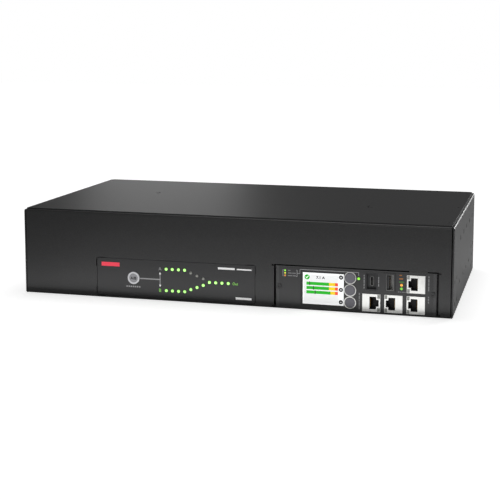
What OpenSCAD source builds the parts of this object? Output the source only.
// Rack static transfer switch, two rack units high.
// A folded steel pan carries an indicator panel and a plug-in management module at the
// front, the two incoming supplies, two banks of outlets and their breakers at the rear,
// and the relays and thyristors that change over between the supplies inside.
// Origin: middle of the pan's underside. +X to the right, +Y to the rear, +Z up.

/* [Chassis] */
// Width over the two side walls
body_w = 432; // [424:1:446]
// Depth from the front face to the rear panel's outer face
body_d = 234.5; // [232:0.5:300]
// Height from the underside to the top of the lid
body_h = 87.3; // [86:0.1:95]
// Thickness of the folded steel sheet
sheet_t = 1.5; // [1.2:0.1:1.8]
// Inside radius of each fold
bend_r = 0.5; // [0.3:0.1:0.8]
// Thickness of the lid
lid_t = 1.2; // [0.8:0.1:1.5]
// Width of the flanges that carry the lid
flange_w = 14; // [12:0.5:18]
// Open seam between neighbouring sheets
seam_gap = 0.4; // [0.2:0.1:0.6]
// How far the side walls start behind the front face
wall_setback = 0.8; // [0:0.1:1.5]

/* [Side fixing holes] */
// Diameter of the bracket holes and of the lower row
fix_d = 4; // [3:0.1:4.5]
// Diameter of the holes of the upper row
row_d = 4.8; // [3:0.1:5.5]
// Spacing of the four holes of a bracket
fix_pitch = 21; // [16:0.5:22]
// Distance of a bracket's outer holes from the front face and from the rear face
fix_in = 13.3; // [12:0.1:15]
// Height of a bracket's lower holes
fix_z = 11.5; // [8:0.1:14]
// Spacing of the holes in a row
row_pitch = 35; // [25:0.5:38]
// Distance of a row's first hole from the front face
row_in = 66.3; // [55:0.1:70]
// Holes in a row
row_count = 5; // [3:1:5]
// Height of the lower row
row_low_z = 22.7; // [20:0.1:26]
// Height of the upper row
row_high_z = 65.6; // [55:0.1:70]

/* [Lid] */
// Head diameter of the countersunk lid screws
lid_screw_d = 5.4; // [4:0.1:6]
// Distance of the lid screws from the side faces
lid_screw_in = 7; // [6:0.1:8]
// Distance of the end screws from the front and rear faces
lid_screw_end = 18; // [16:0.5:24]
// Length of the longer leg of the lanced tabs' slots
lance_len = 12; // [6:0.5:20]
// Width of those slots
lance_w = 1; // [0.5:0.1:2]
// Distance of the lanced tabs from the middle, sideways
lance_x = 119; // [60:1:150]
// Distance of the lanced tabs from their common middle, front to rear
lance_y = 24; // [10:1:50]
// Cut across the lid's rear corners
lid_corner = 3; // [1:0.5:6]

/* [Indicator panel] */
// Width of the sheet between the window and the module's bay
win_gap = 18.7; // [12:0.1:24]
// Width of the window in the front face
win_w = 163.8; // [150:0.1:166]
// Height of the window's lower edge
win_low = 2.2; // [2:0.1:4]
// Height of the window
win_h = 38.3; // [34:0.1:42]
// Gap round the moulded plate in its window
plate_gap = 0.35; // [0.2:0.05:0.6]
// Thickness of the moulded plate's rim behind the sheet
plate_rim_t = 2; // [1.5:0.1:3]
// Width of the rim behind the sheet
plate_rim = 3; // [2:0.1:5]
// Length of the slots at the window's corners
slot_len = 7.5; // [4:0.1:10]
// Width of those slots
slot_w = 0.9; // [0.5:0.1:1.5]
// Height of the lamps' centre line above the window's lower edge
path_rise = 19.1; // [17:0.1:21]
// Distance of the first lamp from the window's left edge
path_in = 73; // [65:0.1:76]
// Spacing of the lamps
lamp_pitch = 6.37; // [5:0.01:6.8]
// Diameter of a lamp
lamp_d = 3; // [2:0.1:4]
// Distance of the upper and lower lamp rows from the centre line
row_rise = 10.8; // [9:0.1:12]
// Step towards the centre line from one lamp to the next
row_step = 2.5; // [2:0.1:2.8]
// Lamps in the straight stretch of a row
straight_lamps = 4; // [3:1:4]
// Lamps that step in towards the centre line
step_lamps = 3; // [2:1:3]
// Lamps on the centre line
output_lamps = 4; // [3:1:4]
// Play round a lamp in its hole
lamp_gap = 0.1; // [0.05:0.05:0.3]
// Distance of the source button from the window's left edge
button_in = 38.7; // [30:0.1:45]
// Diameter of the source button
button_d = 8.8; // [7:0.1:10]
// Diameter of the ring round it
button_ring_d = 12.2; // [11.5:0.1:14]
// Travel of the source button
button_travel = 0.8; // [0.4:0.1:1.2]

/* [Management module] */
// Distance of the module's bay from the right face
bay_in = 13.4; // [13:0.1:18]
// Width of the bay's opening
bay_w = 157.5; // [156:0.1:160]
// How far the bay's lower edge lies below the floor's upper face
bay_step = 0.2; // [0.1:0.1:0.6]
// Height of the bay's opening
bay_h = 41.9; // [41.5:0.1:44]
// Gap at each side of the module's face
bay_gap = 1.5; // [0.8:0.1:2]
// Gap above the module's face
bay_top_gap = 1.2; // [0.6:0.1:2]
// Width of the relief squares at the bay's corners
relief_w = 4; // [3:0.1:5]
// Height of the relief squares
relief_h = 2; // [1:0.1:2.5]
// Thickness of the module's sheet
mod_t = 1.2; // [1:0.1:1.5]
// Depth of the module behind its face
mod_d = 120; // [100:1:130]
// Depth of the returns at the sides of the module's face
return_d = 7; // [5:0.1:9]
// Thickness of the printed foil
foil_t = 0.25; // [0.15:0.05:0.4]
// Margin at the sides of the foil
foil_in = 3.7; // [3:0.1:5]
// Margin above the foil
foil_top = 1.1; // [0.8:0.1:1.5]
// Margin below the foil
foil_low = 0.4; // [0.2:0.1:1]
// Distance from the module's face to its front board
board_in = 18; // [17:0.1:20]
// Thickness of the circuit boards
board_t = 1.6; // [1.2:0.1:2]
// Distance of the module's screws from the sides of its face
mod_screw_in = 3.7; // [3.6:0.1:4.5]
// Head diameter of the module's screws
mod_screw_d = 4.8; // [4:0.1:5.4]

/* [Display and keys] */
// Distance of the display from the left side of the module's face
lcd_in = 25.9; // [25:0.1:27]
// Width of the display
lcd_w = 40.7; // [38:0.1:41]
// Height of the display's lower edge
lcd_low = 6.3; // [5.6:0.1:8]
// Height of the display
lcd_h = 30.4; // [28:0.1:31]
// Width of the display's frame behind the face
lcd_frame = 2.4; // [1.5:0.1:2.6]
// Distance of the keys from the left side of the module's face
key_in = 72.7; // [72.2:0.1:74]
// Height of the lowest key's centre
key_low = 9.7; // [9:0.1:11]
// Spacing of the keys
key_pitch = 11.9; // [11.8:0.1:12.5]
// Diameter of a key
key_d = 10; // [8:0.1:10.2]
// Diameter of the ring round a key
key_ring_d = 11.6; // [11:0.1:11.7]
// How far the keys stand proud of the foil
key_proud = 0.8; // [0.4:0.1:1.5]
// Travel of a key
key_travel = 0.6; // [0.3:0.1:0.8]
// Play round a button or key
key_gap = 0.15; // [0.1:0.05:0.2]

/* [Data sockets] */
// Distance of the first jack's centre from the left side of the module's face
jack_in = 93.1; // [92.5:0.1:94]
// Spacing of the jacks
jack_pitch = 20.9; // [18:0.1:21]
// Height of the lower jacks' centre
jack_low = 10.9; // [10.6:0.1:11.2]
// Height of the upper jack's centre
jack_high = 30.8; // [30:0.1:31]
// Width of a jack's shield
jack_w = 17; // [16:0.1:17.4]
// Height of a jack's shield
jack_h = 16.8; // [16:0.1:17.2]
// How far a shield stands proud of the module's face
jack_proud = 0.5; // [0.3:0.1:1]
// Width of a jack's opening across the plug
jack_open_w = 12; // [11.7:0.1:12.2]
// Height of the opening, without the latch slot
jack_open_h = 6.4; // [6:0.1:6.8]
// Width of the latch slot
latch_w = 6.6; // [6:0.1:7]
// Depth of the latch slot beside the opening
latch_h = 2.4; // [2:0.1:2.6]
// Depth of a jack's opening
jack_open_d = 13; // [12:0.1:14]
// Play round a socket in its window
socket_gap = 0.3; // [0.2:0.05:0.5]
// Width of the recess of the small USB socket
usb_c_w = 11.3; // [10:0.1:12]
// Height of that recess
usb_c_h = 16.4; // [15:0.1:16.6]
// Length of the small USB shell's mouth
usb_c_l = 9.2; // [8.9:0.1:9.6]
// Width of the small USB shell's mouth
usb_c_s = 3.5; // [3.4:0.1:3.8]
// Distance of the large USB socket from the left side of the module's face
usb_a_in = 110.5; // [110:0.1:111]
// Length of the large USB shell
usb_a_l = 14.9; // [14:0.1:15]
// Width of the large USB shell
usb_a_s = 6.9; // [6.4:0.1:7]
// Height of both USB sockets' centre
usb_z = 31.2; // [31:0.1:31.6]

/* [Rear panel] */
// Width of a bank outlet's mouth
c13_w = 28.9; // [28.5:0.1:29.2]
// Height of a bank outlet's mouth
c13_h = 21.1; // [20.8:0.1:21.5]
// Sideways spacing of the bank outlets
c13_pitch_x = 32; // [31.2:0.1:32.4]
// Height spacing of the two rows of outlets
c13_pitch_z = 26; // [24:0.1:30]
// Outlets in a row
c13_cols = 4; // [2:1:4]
// Width of a large outlet's mouth
c19_w = 34.6; // [34:0.1:35]
// Height of a large outlet's mouth
c19_h = 24.6; // [24:0.1:25]
// Gap between an outlet's core and its mouth
core_gap = 2.5; // [2.3:0.1:2.6]
// Wall round an outlet
outlet_wall = 1.5; // [1.2:0.1:1.8]
// Thickness of the outlets' bezels
bezel_t = 1.5; // [1:0.1:2]
// Overlap of a bezel over its cut-out
bezel_lap = 1.2; // [0.8:0.1:1.3]
// Depth of an outlet's mouth
mouth_d = 19; // [17:0.5:20]
// Depth of the outlets behind the rear panel
outlet_d = 30; // [27:0.5:33]
// Height of the middle of everything on the rear panel
rear_z = 43; // [42:0.1:44]
// Height spacing of the two large outlets, breakers and glands
pair_pitch = 36; // [34:0.1:38]
// Width of a breaker's bezel
breaker_w = 24; // [22:0.5:26]
// Height of a breaker's bezel
breaker_h = 31; // [30:0.5:33]
// Radius of a breaker's rocker about its pivot
rocker_r = 10; // [9:0.1:10.5]
// Width of a rocker
rocker_w = 15; // [12:0.5:16]
// Tilt of a rocker to each side of its middle
rocker_tilt = 11; // [8:0.5:13]
// Diameter of the cord's way through a gland
cord_d = 17; // [14:0.5:18]
// Wall of a gland's thread round the cord's way
gland_wall = 3.5; // [3:0.1:4]
// Diameter of the earth stud
stud_d = 5; // [4:0.5:6]
// Length of the earth stud outside the panel
stud_l = 14; // [12:0.5:20]

/* [Hidden] */
$fn = 48;

// The outside of the pan
front_y = -body_d / 2;
rear_y = body_d / 2;
left_x = -body_w / 2;
right_x = body_w / 2;
top_z = body_h - lid_t;
fold_r = bend_r + sheet_t;
fold_x = right_x - fold_r - seam_gap;
corner_relief = 1.5;
foot_lap = 1;
cut = 1;
screw_play = 0.05;
lid_shank_d = 3;
lid_screw_l = 6;

// The module's bay, and the window of the indicator panel with what stands behind it
bay_x2 = right_x - bay_in;
bay_x1 = bay_x2 - bay_w;
win_x = bay_x1 - win_gap - win_w;
win_top = win_low + win_h;
plate_set = 0.2;
plate_y = front_y + plate_set;
plate_back = front_y + sheet_t + plate_rim_t;
post_l = 8;
post_d = 5;
ind_board_y = plate_back + post_l;
path_x = win_x + path_in;
path_z = win_low + path_rise;
lamp_l = ind_board_y - plate_y;
button_x = win_x + button_in;
ring_seat_y = plate_y + 1.2;
ring_proud = 0.3;
button_proud = 0.5;
flange_t = 1;
flange_lap = 1;
stem_d = 3;
switch_w = 6;
switch_l = 3.5;

// The bay and the module's face
bay_low = sheet_t - bay_step;
bay_top = bay_low + bay_h;
face_x1 = bay_x1 + bay_gap;
face_x2 = bay_x2 - bay_gap;
face_low = sheet_t;
face_top = bay_top - bay_top_gap;
face_mid = (face_low + face_top) / 2;
face_back = front_y + mod_t;
mod_fold_r = bend_r + mod_t;
board_y = front_y + board_in;
tray_in = 12;
tray_top = face_low + mod_t;
foil_y = front_y - foil_t;
mod_shank_d = 3;
cage_flange = 9;
mod_screw_x = [face_x1 + mod_screw_in, face_x2 - mod_screw_in];

// The display and the keys
lcd_x = face_x1 + lcd_in;
lcd_deep = 3;
lcd_set = 0.15;
key_x = face_x1 + key_in;
key_z = [for (i = [0 : 2]) key_low + i * key_pitch];
key_hole_d = key_d + 2 * key_gap;
key_flange_d = key_hole_d + 1;

// The sockets
shield_t = 0.3;
jack_x = [for (i = [0 : 2]) face_x1 + jack_in + i * jack_pitch];
usb_c_x = jack_x[0];
usb_a_x = face_x1 + usb_a_in;
jack_lip = 1.4;
led_w = 2.4;
led_h = 3.6;
usb_t = 0.4;
usb_c_deep = 3.5;
usb_mouth_d = 9;

// Lamps of the module: distance from the face's left side, height and diameter
status_lamp_d = 2.6;
link_lamp_d = 2.7;
legend_lamp_d = 1.8;
module_lamps_at = [
    [80.9, 33.4, status_lamp_d],
    [121.4, 29.5, link_lamp_d],
    [121.4, 26.1, link_lamp_d],
    [9.6, 37.7, legend_lamp_d],
    [9.6, 35.2, legend_lamp_d],
    [9.6, 32.7, legend_lamp_d]];

// The rear panel
panel_x = right_x - sheet_t;
panel_return = 8;
rail_x = right_x - flange_w - seam_gap;
rail_w = 10;
rail_t = 1.2;
outlet_mouth_y = rear_y + bezel_t;
outlet_floor_y = outlet_mouth_y - mouth_d;
outlet_back_y = rear_y - outlet_d;
bank_w = (c13_cols - 1) * c13_pitch_x + c13_w + 2 * outlet_wall;
bank_h = c13_pitch_z + c13_h + 2 * outlet_wall;
gland_r = cord_d / 2 + gland_wall;
gland_hex_r = gland_r + 4.5;
stud_nut_r = stud_d * 0.95;
large_w = c19_w + 2 * outlet_wall;
large_h = c19_h + 2 * outlet_wall;
row_w = 2 * (bank_w + stud_nut_r + gland_hex_r) + large_w + breaker_w;
rear_gap = (2 * (panel_x - panel_return) - row_w) / 7;
bank_2_x = rear_gap + panel_return - panel_x + bank_w / 2;
bank_1_x = bank_2_x + bank_w + rear_gap;
large_x = bank_1_x + (bank_w + large_w) / 2 + rear_gap;
breaker_x = large_x + (large_w + breaker_w) / 2 + rear_gap;
stud_x = breaker_x + breaker_w / 2 + rear_gap + stud_nut_r;
gland_x = stud_x + stud_nut_r + rear_gap + gland_hex_r;
pair_z = [rear_z - pair_pitch / 2, rear_z + pair_pitch / 2];
c13_cut = 5;
c19_cut = 1.5;
core_set = 1;
pin_deep = 12;

// A breaker and its rocker
breaker_lap = 1.5;
breaker_bezel_t = 2;
pocket_play = 0.3;
pivot_y = rear_y + breaker_bezel_t - 1;
pivot_d = 2.4;
pivot_l = 1.5;
pivot_play = 0.05;
rocker_face = 2.2;
rocker_deep = 6;

// A gland, measured outwards from the rear panel's outer face
neck_r = cord_d / 2 + 2;
gland_hex_t = 6;
neck_l = 10;
nut_hex_t = 10;
nut_l = 20;
seal_l = 5;
nut_play = 0.3;
lock_nut_t = 5;
inner_thread_l = sheet_t + lock_nut_t + 3;
gland_hole_play = 0.3;

// The earth stud
stud_nut_t = stud_d * 0.8;

// What is mounted inside: a board in the left half with four columns of parts, a pair of
// filters behind the module and a board above it. Parts take a share of their board.
standoff_h = 8;
standoff_d = 6;
post_in = 7;
part_gap = 8;
power_x1 = left_x + 2 * part_gap;
power_x2 = bay_x1 - part_gap;
power_y1 = ind_board_y + 2 * part_gap;
power_y2 = outlet_back_y - part_gap;
power_z = sheet_t + standoff_h;
part_z = power_z + board_t;
power_l = power_x2 - power_x1;
power_d = power_y2 - power_y1;
sink_l = 0.3 * power_l;
relay_w = 0.12 * power_l;
supply_l = 0.17 * power_l;
column_gap = (power_l - sink_l - 2 * relay_w - supply_l) / 5;
sink_x = power_x1 + column_gap;
relay_x = sink_x + sink_l + column_gap;
supply_x = power_x2 - column_gap - supply_l;
sink_w = 0.22 * power_d;
sink_base_t = 5;
sink_fin_h = 24;
sink_fin_t = 1.6;
thyristor_h = 9;
relay_l = 0.08 * power_d;
relay_h = 25;
transformer_w = 0.2 * power_d;
transformer_h = 28;
can_d = 0.4 * supply_l;
can_h = 30;
cage_top = bay_top + sheet_t;
cage_d = mod_d + part_gap;
filter_x1 = bay_x1 + part_gap;
filter_l = (panel_x - filter_x1 - 2 * part_gap) / 2;
filter_y1 = front_y + cage_d + part_gap;
filter_w = (outlet_back_y - filter_y1) / 2;
filter_h = 24;

// ---- Helpers ----

// An outline in X and Z, drawn out from y1 to y2
module along_y(y1, y2) {
    translate([0, y2, 0]) rotate([90, 0, 0]) linear_extrude(y2 - y1) children();
}

// An outline in Y and Z, drawn out from x1 to x2
module along_x(x1, x2) {
    translate([x1, 0, 0]) rotate([90, 0, 90]) linear_extrude(x2 - x1) children();
}

// An outline in X and Y, drawn out from z1 to z2
module along_z(z1, z2) {
    translate([0, 0, z1]) linear_extrude(z2 - z1) children();
}

// A block between two opposite corners
module block(a, b) {
    translate(a) cube(b - a);
}

// A rectangle between two opposite corners
module field(a, b) {
    translate(a) square(b - a);
}

// Quarter of a folded sheet's section, from +X round to +Y
module fold(r, t) {
    intersection() {
        difference() {
            circle(r + t);
            circle(r);
        }
        square(r + t);
    }
}

// A round bar along +Y from y1 to y2
module bar_y(x, z, d, y1, y2) {
    translate([x, y1, z]) rotate([-90, 0, 0]) cylinder(d = d, h = y2 - y1);
}

// A turned shape along +Y: points are [radius, distance behind y]
module turned_y(x, y, z, points) {
    translate([x, y, z]) rotate([-90, 0, 0]) rotate_extrude() polygon(points);
}

// A rectangle with the two upper corners cut off, centred on the origin
module cut_corners(w, h, c) {
    polygon([[-w / 2, -h / 2], [w / 2, -h / 2], [w / 2, h / 2 - c],
             [w / 2 - c, h / 2], [c - w / 2, h / 2], [-w / 2, h / 2 - c]]);
}

// A cap, the flange that stops it and the stem that works a switch, as one moulding.
// The flange seats on a face at seat_y and the cap fills a hole of diameter d plus play.
module push_part(x, z, d, cap_y, seat_y, flange_d, stem_y) {
    seat = seat_y - cap_y;
    edge = 0.4;
    turned_y(x, cap_y, z, [
        [0, 0], [d / 2 - edge, 0], [d / 2, edge], [d / 2, seat], [flange_d / 2, seat],
        [flange_d / 2, seat + flange_t], [stem_d / 2, seat + flange_t],
        [stem_d / 2, stem_y - cap_y], [0, stem_y - cap_y]]);
}

// A switch soldered to the front of a board at back_y, with its plunger
module key_switch(x, z, back_y) {
    plunger_l = 0.6;
    block([x - switch_w / 2, back_y - switch_l, z - switch_w / 2],
          [x + switch_w / 2, back_y, z + switch_w / 2]);
    bar_y(x, z, stem_d, back_y - switch_l - plunger_l, back_y - switch_l);
}

// Where a switch's plunger starts, for a stem that has to travel before it
function stem_end(back_y, travel) = back_y - switch_l - 0.6 - travel - 0.1;

// ---- Chassis ----

// Floor, side walls and lid flanges, as one folded section
module pan_section() {
    for (side = [0, 1]) mirror([side, 0]) {
        square([right_x - fold_r, sheet_t]);
        translate([right_x - fold_r, fold_r]) mirror([0, 1]) fold(bend_r, sheet_t);
        translate([right_x - sheet_t, fold_r]) square([sheet_t, top_z - 2 * fold_r]);
        translate([right_x - fold_r, top_z - fold_r]) fold(bend_r, sheet_t);
        field([right_x - flange_w, top_z - sheet_t], [right_x - fold_r, top_z]);
    }
}

// Front face with the fold at its foot and the lid flange at its head
module front_section() {
    translate([front_y + fold_r, fold_r]) rotate(180) fold(bend_r, sheet_t);
    field([front_y + fold_r, 0], [front_y + fold_r + corner_relief + foot_lap, sheet_t]);
    field([front_y, fold_r], [front_y + sheet_t, top_z - fold_r]);
    translate([front_y + fold_r, top_z - fold_r]) rotate(90) fold(bend_r, sheet_t);
    field([front_y + fold_r, top_z - sheet_t], [front_y + flange_w, top_z]);
}

// The indicator panel's window with the slots at its corners
module indicator_window() {
    field([win_x, win_low], [win_x + win_w, win_top]);
    for (x = [win_x - slot_w, win_x + win_w - cut])
        for (z = [win_low + 1.5, win_top - 1.5 - slot_len])
            field([x, z], [x + slot_w + cut, z + slot_len]);
    for (x = [win_x + 1.5, win_x + win_w - 1.5 - slot_len])
        for (z = [win_low - slot_w / 2, win_top - cut])
            field([x, z], [x + slot_len, z + slot_w / 2 + cut]);
}

// The module's bay with a relief square at each corner
module bay_opening() {
    field([bay_x1, bay_low], [bay_x2, bay_top]);
    for (x = [bay_x1, bay_x2])
        for (z = [bay_low + relief_h / 2, bay_top - relief_h / 2])
            translate([x, z]) square([relief_w, relief_h], center = true);
}

// Middle of each hole in one side wall: distance from the front, height and diameter
function fix_holes() = concat(
    [for (y = [fix_in, fix_in + fix_pitch]) for (z = [fix_z, fix_z + fix_pitch])
        [y, z, fix_d]],
    [for (y = [body_d - fix_in - fix_pitch, body_d - fix_in])
        for (z = [fix_z, fix_z + fix_pitch]) [y, z, fix_d]],
    [for (i = [0 : row_count - 1]) [row_in + i * row_pitch, row_low_z, fix_d]],
    [for (i = [0 : row_count - 1]) [row_in + i * row_pitch, row_high_z, row_d]]);

module chassis_pan() {
    color("#35363a") difference() {
        union() {
            difference() {
                along_y(front_y + wall_setback, rear_y) pan_section();
                // room for the front face's folds
                block([fold_r - right_x, front_y - cut, -cut],
                      [right_x - fold_r, front_y + fold_r + corner_relief, fold_r]);
                block([fold_r - right_x, front_y - cut, top_z - fold_r],
                      [right_x - fold_r, front_y + flange_w + seam_gap, top_z + cut]);
            }
            along_x(-fold_x, fold_x) front_section();
        }
        along_y(front_y - cut, front_y + fold_r) indicator_window();
        along_y(front_y - cut, front_y + fold_r) bay_opening();
        for (hole = fix_holes())
            translate([left_x - cut, front_y + hole[0], hole[1]]) rotate([0, 90, 0])
                cylinder(d = hole[2], h = body_w + 2 * cut);
        for (p = lid_screw_places())
            translate([p.x, p.y, top_z - sheet_t - cut])
                cylinder(d = lid_shank_d + 2 * screw_play, h = sheet_t + 2 * cut);
    }
}

// ---- Lid ----

// Middles of the lid screws
function lid_screw_places() = [
    for (x = [left_x + lid_screw_in, right_x - lid_screw_in])
        for (y = [front_y + lid_screw_end, 0, rear_y - lid_screw_end]) [x, y]];

// A slot in the shape of an L, with its corner on the origin
module lance() {
    square([lance_w, lance_len]);
    square([lance_len / 2, lance_w]);
}

module lid() {
    color("#3a3b3f") difference() {
        along_z(top_z, body_h) polygon([
            [-fold_x, front_y + fold_r + seam_gap], [fold_x, front_y + fold_r + seam_gap],
            [fold_x, rear_y - lid_corner], [fold_x - lid_corner, rear_y],
            [lid_corner - fold_x, rear_y], [-fold_x, rear_y - lid_corner]]);
        for (p = lid_screw_places())
            translate([p.x, p.y, top_z])
                countersink(lid_screw_d + 2 * screw_play, lid_shank_d + 2 * screw_play);
        for (turn = [0, 180])
            rotate(turn) translate([lance_x, -lance_y, top_z - cut])
                linear_extrude(lid_t + 2 * cut) lance();
    }
}

// A countersunk hole from the lid's underside to its top
module countersink(head, shank) {
    cone = min((head - shank) / 2, lid_t);
    translate([0, 0, -cut]) cylinder(d = shank, h = lid_t + 2 * cut);
    translate([0, 0, lid_t - cone]) cylinder(d1 = shank, d2 = shank + 2 * cone, h = cone);
    translate([0, 0, lid_t]) cylinder(d = shank + 2 * cone, h = cut);
}

module lid_screws() {
    cone = min((lid_screw_d - lid_shank_d) / 2, lid_t);
    head = lid_shank_d + 2 * cone;
    for (p = lid_screw_places())
        translate([p.x, p.y, body_h]) difference() {
            union() {
                translate([0, 0, -lid_screw_l]) cylinder(d = lid_shank_d, h = lid_screw_l);
                translate([0, 0, -cone]) cylinder(d1 = lid_shank_d, d2 = head, h = cone);
            }
            for (turn = [0, 90])
                rotate(turn) cube([head * 0.6, 0.7, 1.4], center = true);
        }
}

// ---- Rear panel ----

// Plate with a return along each side wall
module rear_plan() {
    for (side = [0, 1]) mirror([side, 0]) {
        field([0, rear_y - sheet_t], [panel_x - fold_r, rear_y]);
        translate([panel_x - fold_r, rear_y - fold_r]) fold(bend_r, sheet_t);
        field([panel_x - sheet_t, rear_y - panel_return], [panel_x, rear_y - fold_r]);
    }
}

// Angle behind the rear panel's upper edge, which carries the lid's rear edge
module rear_rail() {
    color("#35363a") along_x(-rail_x, rail_x) {
        field([rear_y - sheet_t - rail_w, top_z - rail_t], [rear_y - sheet_t, top_z]);
        field([rear_y - sheet_t - rail_t, top_z - rail_w], [rear_y - sheet_t, top_z]);
    }
}

// A rectangle in X and Z round a middle
module opening(x, z, w, h) {
    translate([x, z]) square([w, h], center = true);
}

module rear_panel() {
    play = 2 * socket_gap;
    color("#35363a") difference() {
        union() {
            along_z(fold_r, top_z - fold_r) rear_plan();
            block([-rail_x, rear_y - sheet_t, sheet_t], [rail_x, rear_y, fold_r]);
            block([-rail_x, rear_y - sheet_t, top_z - fold_r], [rail_x, rear_y, top_z]);
        }
        along_y(rear_y - sheet_t - cut, rear_y + cut) {
            opening(bank_1_x, rear_z, bank_w + play, bank_h + play);
            opening(bank_2_x, rear_z, bank_w + play, bank_h + play);
            for (z = pair_z) {
                opening(large_x, z, large_w + play, large_h + play);
                opening(breaker_x, z, breaker_w - 2 * breaker_lap + play,
                        breaker_h - 2 * breaker_lap + play);
            }
        }
        for (z = pair_z)
            bar_y(gland_x, z, 2 * (gland_r + gland_hole_play), rear_y - sheet_t - cut,
                  rear_y + cut);
        bar_y(stud_x, rear_z, stud_d + 2 * screw_play, rear_y - sheet_t - cut, rear_y + cut);
    }
}

// ---- Outlets ----

// Middles of the outlets of one bank
function bank_places(x) = [
    for (i = [0 : c13_cols - 1])
        for (z = [rear_z - c13_pitch_z / 2, rear_z + c13_pitch_z / 2])
            [x + (i - (c13_cols - 1) / 2) * c13_pitch_x, z]];

// Walls round the mouths, with the bezel on the outside of the panel
module outlet_frame(x, z, w, h) {
    difference() {
        union() {
            along_y(outlet_floor_y, rear_y) opening(x, z, w, h);
            along_y(rear_y, outlet_mouth_y)
                opening(x, z, w + 2 * bezel_lap, h + 2 * bezel_lap);
        }
        along_y(outlet_floor_y - cut, outlet_mouth_y + cut) children();
    }
}

// The cores that the plugs' shrouds pass over, on their common back
module outlet_cores(places, w, h, corner) {
    for (p = places)
        along_y(outlet_floor_y, outlet_mouth_y - core_set)
            translate(p) cut_corners(w - 2 * core_gap, h - 2 * core_gap, corner);
}

// The three contact slots of a bank outlet
module c13_slots() {
    for (slot = [[-7, -2], [0, 2], [7, -2]])
        translate(slot) square([2.6, 5.4], center = true);
}

// The three contact slots of a large outlet
module c19_slots() {
    for (slot = [[-6.5, -3.5], [0, 4.5], [6.5, -3.5]])
        translate(slot) square([8.2, 2.6], center = true);
}

// One row of a bank's frame: side is 1 for the upper row, -1 for the lower
module bank_frame(x, side) {
    color("#1d1d1f") intersection() {
        outlet_frame(x, rear_z, bank_w, bank_h)
            for (p = bank_places(x)) translate(p) cut_corners(c13_w, c13_h, c13_cut);
        translate([x, rear_y, rear_z + side * bank_h / 2])
            cube([2 * bank_w, 2 * outlet_d, bank_h], center = true);
    }
}

module bank_cores(x) {
    color("#242426") difference() {
        union() {
            along_y(outlet_back_y, outlet_floor_y) opening(x, rear_z, bank_w, bank_h);
            outlet_cores(bank_places(x), c13_w, c13_h, c13_cut - 1);
        }
        along_y(outlet_mouth_y - core_set - pin_deep, outlet_mouth_y)
            for (p = bank_places(x)) translate(p) c13_slots();
    }
}

module outlet_frame_1_low() bank_frame(bank_1_x, -1);
module outlet_frame_1_high() bank_frame(bank_1_x, 1);
module outlet_cores_1() bank_cores(bank_1_x);
module outlet_frame_2_low() bank_frame(bank_2_x, -1);
module outlet_frame_2_high() bank_frame(bank_2_x, 1);
module outlet_cores_2() bank_cores(bank_2_x);

module large_outlet_frames() {
    color("#1d1d1f") for (z = pair_z)
        outlet_frame(large_x, z, large_w, large_h)
            translate([large_x, z]) cut_corners(c19_w, c19_h, c19_cut);
}

module large_outlet_cores() {
    color("#242426") for (z = pair_z) difference() {
        union() {
            along_y(outlet_back_y, outlet_floor_y) opening(large_x, z, large_w, large_h);
            outlet_cores([[large_x, z]], c19_w, c19_h, c19_cut);
        }
        along_y(outlet_mouth_y - core_set - pin_deep, outlet_mouth_y)
            translate([large_x, z]) c19_slots();
    }
}

// ---- Breakers ----

module breaker_bodies() {
    in_w = breaker_w - 2 * breaker_lap;
    in_h = breaker_h - 2 * breaker_lap;
    pocket_w = rocker_w + 2 * pocket_play;
    pocket_h = 2 * (rocker_r + pocket_play);
    floor_y = pivot_y - rocker_deep - 2;
    color("#1b1b1d") for (z = pair_z) difference() {
        union() {
            along_y(outlet_back_y, rear_y) opening(breaker_x, z, in_w, in_h);
            along_y(rear_y, rear_y + breaker_bezel_t)
                opening(breaker_x, z, breaker_w, breaker_h);
        }
        along_y(floor_y, rear_y + breaker_bezel_t + cut)
            opening(breaker_x, z, pocket_w, pocket_h);
        translate([breaker_x - pocket_w / 2 - pivot_l, pivot_y, z]) rotate([0, 90, 0])
            cylinder(d = pivot_d + 2 * pivot_play, h = pocket_w + 2 * pivot_l);
    }
}

// Rocker section: a disc with a shallow V across its face, turned about its pivot
module rocker_section() {
    rise = rocker_face / cos(rocker_tilt);
    wide = 2 * rocker_r;
    rotate(rocker_tilt) difference() {
        circle(rocker_r);
        polygon([[rise, 0], [rise + wide * tan(rocker_tilt), wide],
                 [wide * 2, wide], [wide * 2, -wide],
                 [rise + wide * tan(rocker_tilt), -wide]]);
        field([-wide, -wide], [-rocker_deep, wide]);
    }
}

module breaker_rocker(z) {
    color("#202022") translate([0, pivot_y, z]) {
        along_x(breaker_x - rocker_w / 2, breaker_x + rocker_w / 2) rocker_section();
        translate([breaker_x - rocker_w / 2 - pivot_l, 0, 0]) rotate([0, 90, 0])
            cylinder(d = pivot_d, h = rocker_w + 2 * pivot_l);
    }
}

module breaker_rocker_1() breaker_rocker(pair_z[0]);
module breaker_rocker_2() breaker_rocker(pair_z[1]);

// ---- Glands and earth stud ----

module gland_body(z) {
    color("#2b2b2e") difference() {
        union() {
            bar_y(gland_x, z, 2 * gland_r, rear_y - inner_thread_l, rear_y);
            translate([gland_x, rear_y, z]) rotate([-90, 0, 0])
                cylinder(r = gland_hex_r, h = gland_hex_t, $fn = 6);
            bar_y(gland_x, z, 2 * neck_r, rear_y, rear_y + gland_hex_t + neck_l);
        }
        bar_y(gland_x, z, cord_d, rear_y - inner_thread_l - cut,
              rear_y + gland_hex_t + neck_l + cut);
    }
}

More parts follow.
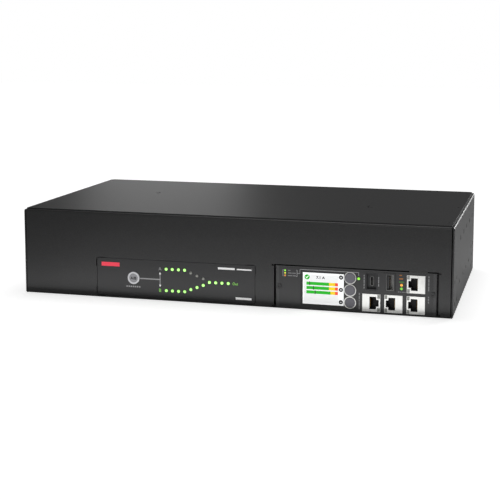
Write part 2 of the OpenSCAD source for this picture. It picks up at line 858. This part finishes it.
// The nut that closes the seal round the cord
module gland_nut(z) {
    inner_r = neck_r + nut_play;
    mouth_r = cord_d / 2 + 0.3;
    crown_r = mouth_r + 2;
    flat_r = gland_hex_r * cos(30) - 0.5;
    color("#2b2b2e") difference() {
        union() {
            translate([gland_x, rear_y + gland_hex_t, z]) rotate([-90, 0, 0])
                cylinder(r = gland_hex_r, h = nut_hex_t, $fn = 6);
            turned_y(gland_x, rear_y + gland_hex_t, z,
                [[0, 0], [flat_r, 0], [flat_r, nut_hex_t + 2], [crown_r, nut_l], [0, nut_l]]);
        }
        bar_y(gland_x, z, 2 * inner_r, rear_y + gland_hex_t - cut,
              rear_y + gland_hex_t + neck_l + seal_l);
        bar_y(gland_x, z, 2 * mouth_r, rear_y + gland_hex_t,
              rear_y + gland_hex_t + nut_l + cut);
    }
}

module gland_body_a() gland_body(pair_z[1]);
module gland_body_b() gland_body(pair_z[0]);
module gland_nut_a() gland_nut(pair_z[1]);
module gland_nut_b() gland_nut(pair_z[0]);

module gland_seals() {
    color("#101012") for (z = pair_z) difference() {
        bar_y(gland_x, z, 2 * neck_r, rear_y + gland_hex_t + neck_l,
              rear_y + gland_hex_t + neck_l + seal_l);
        bar_y(gland_x, z, cord_d, rear_y, rear_y + gland_hex_t + nut_l);
    }
}

module gland_lock_nuts() {
    color("#2b2b2e") for (z = pair_z) difference() {
        translate([gland_x, rear_y - sheet_t - lock_nut_t, z]) rotate([-90, 0, 0])
            cylinder(r = gland_hex_r - 1, h = lock_nut_t, $fn = 6);
        bar_y(gland_x, z, 2 * (gland_r + screw_play), rear_y - sheet_t - lock_nut_t - cut,
              rear_y);
    }
}

module earth_stud() {
    color("#c9a85a") {
        bar_y(stud_x, rear_z, stud_d, rear_y - sheet_t - stud_nut_t - 1, rear_y + stud_l);
        for (y = [rear_y - sheet_t - stud_nut_t, rear_y]) difference() {
            translate([stud_x, y, rear_z]) rotate([-90, 0, 0])
                cylinder(r = stud_nut_r, h = stud_nut_t, $fn = 6);
            bar_y(stud_x, rear_z, stud_d + 2 * screw_play, y - cut, y + stud_nut_t + cut);
        }
    }
}

// ---- Indicator panel ----

// Middle of lamp i of a row: row is 1 above the centre line, -1 below it, 0 on it
function lamp_place(i, row) =
    [path_x + i * lamp_pitch,
     path_z + row * (row_rise - max(0, i - straight_lamps + 1) * row_step)];

straight = [0 : straight_lamps - 1];
stepping = [straight_lamps : straight_lamps + step_lamps - 1];
merged = [straight_lamps + step_lamps : straight_lamps + step_lamps + output_lamps - 1];

places_source_a = [for (i = straight) lamp_place(i, 1)];
places_transfer_a = [for (i = stepping) lamp_place(i, 1)];
places_path_b = concat([for (i = straight) lamp_place(i, -1)],
                       [for (i = stepping) lamp_place(i, -1)]);
places_output = [for (i = merged) lamp_place(i, 0)];

// Middles of the posts that carry the indicator board
post_places = [for (x = [win_x + 6, win_x + win_w - 6])
    for (z = [win_low + 7, win_top - 5]) [x, z]];

module indicator_plate() {
    hole = lamp_d + 2 * lamp_gap;
    color("#3d3e42") {
        difference() {
            union() {
                along_y(plate_y, front_y + sheet_t)
                    field([win_x + plate_gap, win_low + plate_gap],
                          [win_x + win_w - plate_gap, win_top - plate_gap]);
                along_y(front_y + sheet_t, plate_back)
                    field([win_x - plate_rim, win_low + plate_gap],
                          [win_x + win_w + plate_rim, win_top + plate_rim]);
                for (p = post_places) bar_y(p.x, p.y, post_d, plate_back, ind_board_y);
            }
            for (p = concat(places_source_a, places_transfer_a, places_path_b, places_output))
                bar_y(p.x, p.y, hole, plate_y - cut, plate_back + cut);
            bar_y(button_x, path_z, button_ring_d + 2 * socket_gap, plate_y - cut, ring_seat_y);
            bar_y(button_x, path_z, button_d + 2 * (key_gap + lamp_gap), plate_y,
                  plate_back + cut);
        }
    }
}

module indicator_board() {
    color("#1f5b34") along_y(ind_board_y, ind_board_y + board_t)
        field([win_x + 1, win_low + 2], [win_x + win_w - 1, win_top]);
}

// Light pipes from the board to the face of the plate
module lamps(places) {
    for (p = places) bar_y(p.x, p.y, lamp_d, plate_y, ind_board_y);
}

module lamps_source_a() color("#7dff5a") lamps(places_source_a);
module lamps_transfer_a() color("#8a8c8a") lamps(places_transfer_a);
module lamps_path_b() color("#7dff5a") lamps(places_path_b);
module lamps_output() color("#7dff5a") lamps(places_output);

module source_button() {
    color("#8f9098") push_part(button_x, path_z, button_d, plate_y - button_proud, plate_back,
        button_d + 2 * (key_gap + lamp_gap + flange_lap), stem_end(ind_board_y, button_travel));
}

module source_button_ring() {
    color("#c9cace") difference() {
        bar_y(button_x, path_z, button_ring_d, plate_y - ring_proud, ring_seat_y);
        bar_y(button_x, path_z, button_d + 2 * key_gap, plate_y - cut, plate_back);
    }
}

// ---- Management module: sheet parts ----

// Cage that the module slides into: two walls and a roof, with an inward flange at each side
module module_cage() {
    color("#8b8e90") difference() {
        union() {
            along_y(front_y + return_d, front_y + cage_d) {
                field([bay_x1 - sheet_t, sheet_t], [bay_x1, cage_top]);
                field([bay_x2, sheet_t], [bay_x2 + sheet_t, cage_top]);
                field([bay_x1 - sheet_t, bay_top], [bay_x2 + sheet_t, cage_top]);
            }
            along_y(front_y + sheet_t, front_y + return_d) {
                field([bay_x1 - sheet_t, fold_r], [bay_x1, cage_top]);
                field([bay_x2, fold_r], [bay_x2 + sheet_t, cage_top]);
                field([bay_x1 - sheet_t, bay_top + 1], [bay_x2 + sheet_t, cage_top]);
            }
            along_y(front_y + return_d, front_y + return_d + sheet_t) {
                field([bay_x1 - sheet_t, sheet_t], [bay_x1 + cage_flange, cage_top]);
                field([bay_x2 - cage_flange, sheet_t], [bay_x2 + sheet_t, cage_top]);
            }
        }
        for (x = mod_screw_x)
            bar_y(x, face_mid, mod_shank_d + 2 * screw_play, front_y, front_y + cage_d);
    }
}

// Face with a return at each side, seen from above
module faceplate_plan() {
    field([face_x1 + mod_fold_r, front_y], [face_x2 - mod_fold_r, face_back]);
    translate([face_x1 + mod_fold_r, front_y + mod_fold_r]) rotate(180) fold(bend_r, mod_t);
    translate([face_x2 - mod_fold_r, front_y + mod_fold_r]) rotate(270) fold(bend_r, mod_t);
    field([face_x1, front_y + mod_fold_r], [face_x1 + mod_t, front_y + return_d]);
    field([face_x2 - mod_t, front_y + mod_fold_r], [face_x2, front_y + return_d]);
}

// Every window in the module's face; play widens them all
module face_windows(play) {
    field([lcd_x - play, lcd_low - play], [lcd_x + lcd_w + play, lcd_low + lcd_h + play]);
    for (z = key_z) translate([key_x, z]) circle(d = key_ring_d + 2 * play);
    opening(usb_c_x, usb_z, usb_c_w + 2 * play, usb_c_h + 2 * play);
    opening(usb_a_x, usb_z, usb_a_s + 2 * play, usb_a_l + 2 * play);
    for (x = jack_x) opening(x, jack_low, jack_w + 2 * play, jack_h + 2 * play);
    opening(jack_x[2], jack_high, jack_w + 2 * play, jack_h + 2 * play);
    for (lamp = module_lamps_at)
        translate([face_x1 + lamp[0], lamp[1]]) circle(d = lamp[2] + 2 * lamp_gap);
}

module module_faceplate() {
    color("#4a4b50") difference() {
        along_z(face_low, face_top) faceplate_plan();
        along_y(front_y - cut, face_back + cut) face_windows(socket_gap / 2);
        for (x = mod_screw_x)
            bar_y(x, face_mid, mod_shank_d + 2 * screw_play, front_y - cut, face_back + cut);
    }
}

module module_foil() {
    color("#434448") difference() {
        along_y(foil_y, front_y)
            field([face_x1 + foil_in, face_low + foil_low],
                  [face_x2 - foil_in, face_top - foil_top]);
        along_y(foil_y - cut, front_y + cut) face_windows(socket_gap / 2);
        for (x = mod_screw_x)
            bar_y(x, face_mid, mod_screw_d + 2 * seam_gap, foil_y - cut, front_y + cut);
    }
}

module module_screws() {
    head_t = 1.2;
    for (x = mod_screw_x) difference() {
        union() {
            bar_y(x, face_mid, mod_screw_d, front_y - head_t, front_y);
            bar_y(x, face_mid, mod_shank_d, front_y, front_y + return_d + sheet_t + 2);
        }
        translate([x, front_y - head_t, face_mid])
            for (turn = [0, 90])
                rotate([0, turn, 0]) cube([mod_screw_d * 0.6, 1.6, 0.7], center = true);
    }
}

module screws() {
    color("#1c1c1e") {
        lid_screws();
        module_screws();
    }
}

// Floor of the module with a low wall at each side, and a tongue that reaches forward
// to the face under the display
module module_tray() {
    lip_h = 5;
    color("#8b8e90") {
        along_y(board_y, front_y + mod_d)
            field([face_x1 + tray_in, face_low], [face_x2 - tray_in, tray_top]);
        along_y(main_board_y, front_y + mod_d)
            for (x = [face_x1 + tray_in, face_x2 - tray_in - mod_t])
                field([x, face_low], [x + mod_t, face_low + lip_h]);
        along_y(face_back, board_y)
            field([face_x1 + tray_in, face_low], [key_x, tray_top]);
    }
}

// ---- Management module: boards ----

module module_front_board() {
    color("#1f5b34") along_y(board_y, board_y + board_t)
        field([face_x1 + tray_in + mod_t, tray_top], [face_x2 - tray_in + 6, face_top - 1.5]);
}

main_board_x1 = face_x1 + tray_in + 2 * mod_t;
main_board_x2 = face_x2 - tray_in - 2 * mod_t;
main_board_y = board_y + board_t;
main_board_y2 = front_y + mod_d - 2;
main_board_z = tray_top + standoff_h;
control_x1 = bay_x1 + part_gap / 2;
control_x2 = bay_x2 - part_gap / 2;
control_y1 = board_y + part_gap;
control_y2 = front_y + mod_d;

// Horizontal board that meets the front board's back
module module_main_board() {
    color("#1f5b34") block([main_board_x1, main_board_y, main_board_z],
        [main_board_x2, main_board_y2, main_board_z + board_t]);
}

// Packages on a board between two corners: each one's place and size as shares of the
// board's width and depth, and its height
module packages(x1, y1, x2, y2, z, places) {
    for (p = places)
        translate([x1 + p[0] * (x2 - x1), y1 + p[1] * (y2 - y1), z])
            cube([p[2] * (x2 - x1), p[3] * (y2 - y1), p[4]]);
}

module module_chips() {
    color("#151517")
        packages(main_board_x1, main_board_y, main_board_x2, main_board_y2,
            main_board_z + board_t,
            [[0.09, 0.14, 0.11, 0.14, 1.4], [0.31, 0.12, 0.16, 0.2, 1.6],
             [0.57, 0.16, 0.09, 0.18, 1.2], [0.75, 0.12, 0.17, 0.12, 5],
             [0.11, 0.47, 0.12, 0.24, 8], [0.36, 0.51, 0.21, 0.28, 2.2],
             [0.67, 0.45, 0.08, 0.1, 1.2], [0.8, 0.59, 0.12, 0.22, 11]]);
}

// Frame behind the face, with the screen raised into the window. The keys stand close
// to the screen, so the frame has no rim on their side.
module display() {
    color("#e8f0ee") {
        along_y(face_back, face_back + lcd_deep)
            field([lcd_x - lcd_frame, lcd_low - lcd_frame],
                  [lcd_x + lcd_w, lcd_low + lcd_h + lcd_frame]);
        along_y(foil_y + lcd_set, face_back)
            field([lcd_x, lcd_low], [lcd_x + lcd_w, lcd_low + lcd_h]);
    }
}

module key(z) {
    color("#8b8a9a") push_part(key_x, z, key_d, foil_y - key_proud,
        face_back + flange_t, key_flange_d, stem_end(board_y, key_travel));
}

module key_bottom() key(key_z[0]);
module key_middle() key(key_z[1]);
module key_top() key(key_z[2]);

// Rings that line the key holes, stopped behind the face by the plate they share
module key_rings() {
    color("#b9babf") difference() {
        union() {
            for (z = key_z) bar_y(key_x, z, key_ring_d, foil_y, face_back);
            along_y(face_back, face_back + flange_t)
                field([key_x - key_ring_d / 2, key_z[0] - key_ring_d / 2],
                      [key_x + key_ring_d / 2, key_z[2] + key_ring_d / 2]);
        }
        for (z = key_z) bar_y(key_x, z, key_hole_d, foil_y - cut, board_y);
    }
}

// Switches behind the source button and the keys
module push_switches() {
    color("#18181a") {
        key_switch(button_x, path_z, ind_board_y);
        for (z = key_z) key_switch(key_x, z, board_y);
    }
}

// ---- Management module: sockets ----

// Outline of a jack's opening; latch is -1 where the latch slot lies to the left, or 1
module jack_mouth(latch) {
    mirror([latch > 0 ? 1 : 0, 0]) {
        x = jack_lip + latch_h - jack_w / 2;
        field([x, -jack_open_w / 2], [x + jack_open_h, jack_open_w / 2]);
        field([x - latch_h, -latch_w / 2], [x + cut, latch_w / 2]);
    }
}

// The two lamps at the corners beside the latch slot
module jack_lamps(latch) {
    for (z = [-1, 1])
        translate([latch * (jack_w - led_w - 2 * shield_t) / 2,
                   z * (jack_h - led_h - 2 * shield_t) / 2])
            square([led_w, led_h], center = true);
}

module jack(x, z, latch) {
    inner_y = front_y - jack_proud + shield_t;
    color("#1a1a1c") difference() {
        union() {
            along_y(inner_y, board_y)
                opening(x, z, jack_w - 2 * shield_t, jack_h - 2 * shield_t);
            along_y(inner_y - shield_t, inner_y) translate([x, z]) jack_lamps(latch);
        }
        along_y(inner_y - cut, inner_y + jack_open_d) translate([x, z]) jack_mouth(latch);
    }
}

module jack_network() jack(jack_x[2], jack_high, -1);
module jack_left() jack(jack_x[0], jack_low, 1);
module jack_middle() jack(jack_x[1], jack_low, -1);
module jack_right() jack(jack_x[2], jack_low, -1);

// Folded tin shield over one jack
module jack_shield(x, z, latch) {
    outer_y = front_y - jack_proud;
    difference() {
        along_y(outer_y, board_y) opening(x, z, jack_w, jack_h);
        along_y(outer_y + shield_t, board_y + cut)
            opening(x, z, jack_w - 2 * shield_t, jack_h - 2 * shield_t);
        along_y(outer_y - cut, outer_y + shield_t + cut) translate([x, z]) {
            jack_mouth(latch);
            jack_lamps(latch);
        }
    }
}

module jack_shields() {
    color("#c8cacb") {
        jack_shield(jack_x[2], jack_high, -1);
        jack_shield(jack_x[0], jack_low, 1);
        jack_shield(jack_x[1], jack_low, -1);
        jack_shield(jack_x[2], jack_low, -1);
    }
}

// Mouth of the small USB shell: a slot with round ends, standing upright
module usb_c_mouth(inset) {
    r = usb_c_s / 2 - inset;
    reach = (usb_c_l - usb_c_s) / 2;
    square([2 * r, 2 * reach], center = true);
    for (z = [-reach, reach]) translate([0, z]) circle(r);
}

usb_c_face_y = foil_y + usb_c_deep;

module usb_shells() {
    color("#b4b6b8") {
        translate([usb_c_x, 0, usb_z]) difference() {
            along_y(usb_c_face_y - 0.4, board_y) usb_c_mouth(0);
            along_y(usb_c_face_y - cut, usb_c_face_y + usb_mouth_d) usb_c_mouth(usb_t);
        }
        translate([usb_a_x, 0, usb_z]) difference() {
            along_y(foil_y, board_y) opening(0, 0, usb_a_s, usb_a_l);
            along_y(foil_y - cut, foil_y + usb_mouth_d)
                opening(0, 0, usb_a_s - 2 * usb_t, usb_a_l - 2 * usb_t);
        }
    }
}

// Recess round the small USB socket
module usb_well() {
    wall = 1;
    color("#141416") translate([usb_c_x, 0, usb_z]) difference() {
        union() {
            along_y(foil_y, face_back) opening(0, 0, usb_c_w, usb_c_h);
            along_y(face_back, usb_c_face_y + wall)
                opening(0, 0, usb_c_w + 2 * wall, usb_c_h + 2 * socket_gap);
        }
        along_y(foil_y - cut, usb_c_face_y)
            opening(0, 0, usb_c_w - 2 * wall, usb_c_h - 2 * wall);
        along_y(foil_y, board_y) usb_c_mouth(-screw_play);
    }
}

module usb_tongues() {
    color("#101012") {
        translate([usb_c_x, 0, usb_z])
            along_y(usb_c_face_y + 1, usb_c_face_y + usb_mouth_d)
                opening(0, 0, 0.7, usb_c_l - usb_c_s);
        translate([usb_a_x, 0, usb_z])
            along_y(foil_y + 1, foil_y + usb_mouth_d)
                opening(-usb_a_s / 4, 0, 2, usb_a_l - 2 * usb_t - 2);
    }
}

// Light pipes from the front board to the foil
module module_lamps() {
    color("#7dff5a") for (lamp = module_lamps_at)
        bar_y(face_x1 + lamp[0], lamp[1], lamp[2], foil_y, board_y);
}

// ---- Power section ----

module power_board() {
    color("#23633a") block([power_x1, power_y1, power_z], [power_x2, power_y2, part_z]);
}

// Posts under the power board, the module's main board and the control board
module board_standoffs() {
    color("#b9a469") {
        for (x = [power_x1 + post_in, (power_x1 + power_x2) / 2, power_x2 - post_in])
            for (y = [power_y1 + post_in, power_y2 - post_in])
                translate([x, y, sheet_t]) cylinder(d = standoff_d, h = standoff_h);
        for (x = [main_board_x1 + post_in, main_board_x2 - post_in])
            for (y = [main_board_y + post_in, main_board_y2 - post_in])
                translate([x, y, tray_top]) cylinder(d = standoff_d, h = standoff_h);
        for (x = [control_x1 + post_in, control_x2 - post_in])
            for (y = [control_y1 + post_in, control_y2 - post_in])
                translate([x, y, cage_top]) cylinder(d = standoff_d, h = standoff_h);
    }
}

// Lower edges of n equal parts spread evenly from a to b
function spread(a, b, n, size) =
    [for (i = [0 : n - 1]) a + (i + 1) * (b - a - n * size) / (n + 1) + i * size];

sink_y = spread(power_y1, power_y2, 2, sink_w);

// Three relays for each supply, and a thyristor module for each under its heat sink
module switching_parts() {
    color("#20242c") {
        for (x = [relay_x, relay_x + relay_w + column_gap])
            for (y = spread(power_y1, power_y2, 3, relay_l))
                translate([x, y, part_z]) cube([relay_w, relay_l, relay_h]);
        for (y = sink_y)
            translate([sink_x + sink_l / 4, y + sink_w / 5, part_z])
                cube([sink_l / 2, 0.6 * sink_w, thyristor_h]);
    }
}

module heat_sinks() {
    color("#a6a8aa") for (y = sink_y)
        translate([sink_x, y, part_z + thyristor_h]) {
            cube([sink_l, sink_w, sink_base_t]);
            for (x = concat(0, spread(0, sink_l, 8, sink_fin_t), sink_l - sink_fin_t))
                translate([x, 0, sink_base_t]) cube([sink_fin_t, sink_w, sink_fin_h]);
        }
}

// Two transformers and four capacitors of the internal supplies
module supply_parts() {
    middle_y = power_y1 + 0.6 * power_d;
    color("#2f2a20") {
        for (y = spread(power_y1, middle_y, 2, transformer_w))
            translate([supply_x, y, part_z]) {
                cube([supply_l, transformer_w, transformer_h / 4]);
                translate([supply_l / 8, 0, transformer_h / 4])
                    cube([0.75 * supply_l, transformer_w, 0.75 * transformer_h]);
            }
        for (x = spread(supply_x, supply_x + supply_l, 2, can_d))
            for (y = spread(middle_y, power_y2, 2, can_d))
                translate([x + can_d / 2, y + can_d / 2, part_z])
                    cylinder(d = can_d, h = can_h);
    }
}

// One filter can for each supply
module input_filters() {
    color("#9fa2a4") for (x = [filter_x1, filter_x1 + filter_l + part_gap])
        translate([x, filter_y1, sheet_t]) cube([filter_l, filter_w, filter_h]);
}

module control_board() {
    z = cage_top + standoff_h;
    color("#1f5b34") {
        block([control_x1, control_y1, z], [control_x2, control_y2, z + board_t]);
        packages(control_x1, control_y1, control_x2, control_y2, z + board_t,
            [[0.09, 0.12, 0.15, 0.23, 2], [0.35, 0.17, 0.09, 0.15, 1.4],
             [0.56, 0.1, 0.2, 0.12, 9], [0.13, 0.56, 0.08, 0.25, 10],
             [0.4, 0.54, 0.23, 0.19, 12], [0.75, 0.48, 0.11, 0.31, 14]]);
    }
}

chassis_pan();
lid();
screws();
rear_panel();
rear_rail();
indicator_plate();
indicator_board();
lamps_source_a();
lamps_transfer_a();
lamps_path_b();
lamps_output();
source_button();
source_button_ring();
push_switches();
module_cage();
module_faceplate();
module_foil();
module_tray();
module_front_board();
module_main_board();
module_chips();
display();
key_top();
key_middle();
key_bottom();
key_rings();
usb_shells();
usb_well();
usb_tongues();
jack_network();
jack_left();
jack_middle();
jack_right();
jack_shields();
module_lamps();
outlet_frame_1_low();
outlet_frame_1_high();
outlet_cores_1();
outlet_frame_2_low();
outlet_frame_2_high();
outlet_cores_2();
large_outlet_frames();
large_outlet_cores();
breaker_bodies();
breaker_rocker_1();
breaker_rocker_2();
gland_body_a();
gland_body_b();
gland_nut_a();
gland_nut_b();
gland_seals();
gland_lock_nuts();
earth_stud();
power_board();
board_standoffs();
switching_parts();
heat_sinks();
supply_parts();
input_filters();
control_board();
